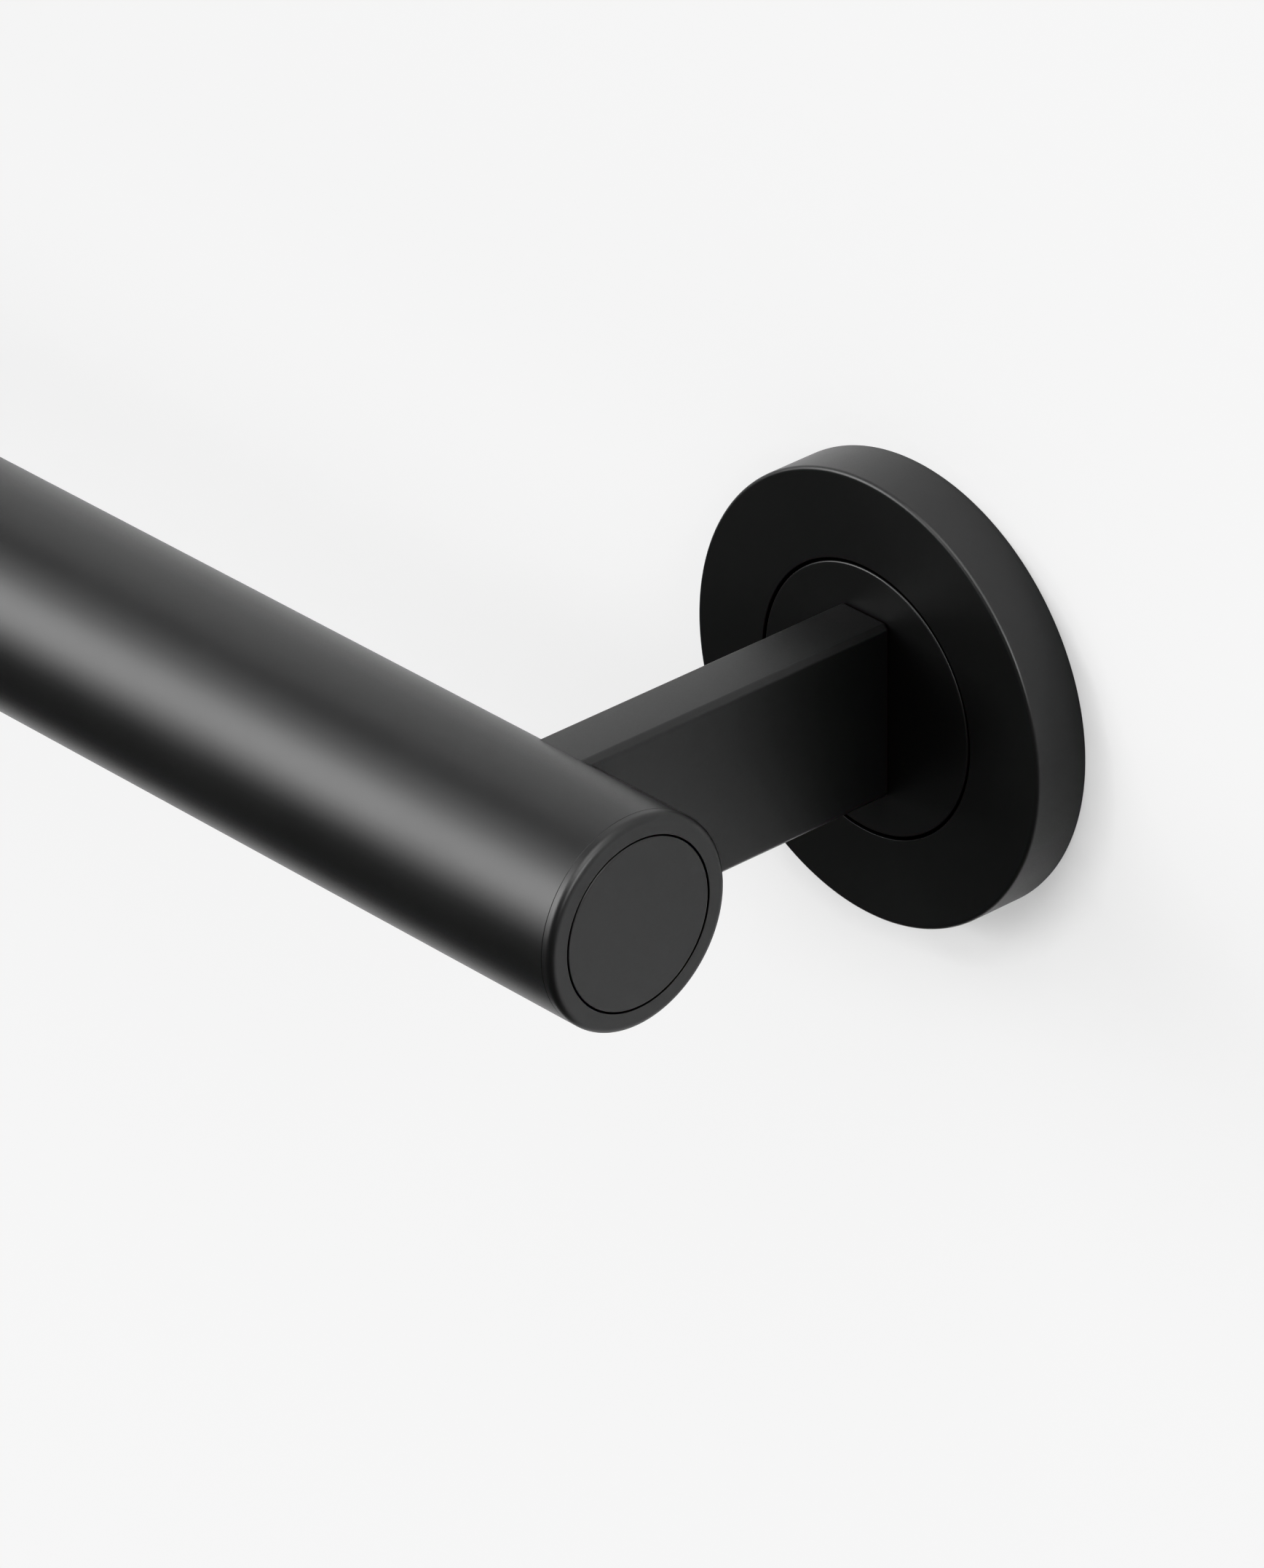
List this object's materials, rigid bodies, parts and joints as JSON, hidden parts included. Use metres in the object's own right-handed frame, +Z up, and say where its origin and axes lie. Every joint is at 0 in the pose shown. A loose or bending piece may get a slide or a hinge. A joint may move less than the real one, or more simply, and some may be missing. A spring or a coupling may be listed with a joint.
{
  "type": "grab bar",
  "caption": "Straight round wall-mounted grab bar on two flat arms, with round wall plates, loose cover rings over the screws and capped ends.",
  "frame": {"origin": "on the wall plane, midway between the two wall plates, at the height of the bar's axis", "axes": "+X along the bar towards the end that the picture shows, +Y square into the wall, +Z up; the bar is on the -Y side of the wall plane"},
  "size_m": [0.3684, 0.0905, 0.0684],
  "materials": {
    "black_coat": "fine matt black powder coat",
    "steel": "bare stainless steel"
  },
  "bodies": {
    "root": {"bar_tube": "black_coat", "cap_rings": "black_coat", "cap_discs": "black_coat", "arm_right": "black_coat", "arm_left": "black_coat", "wall_plates": "black_coat", "cover_rings": "black_coat", "saddle_washer_right": "steel", "saddle_washer_left": "steel", "bar_screw_right": "steel", "bar_screw_left": "steel", "arm_screw_upper_right": "steel", "arm_screw_lower_right": "steel", "arm_screw_upper_left": "steel", "arm_screw_lower_left": "steel"}
  },
  "joints": []
}
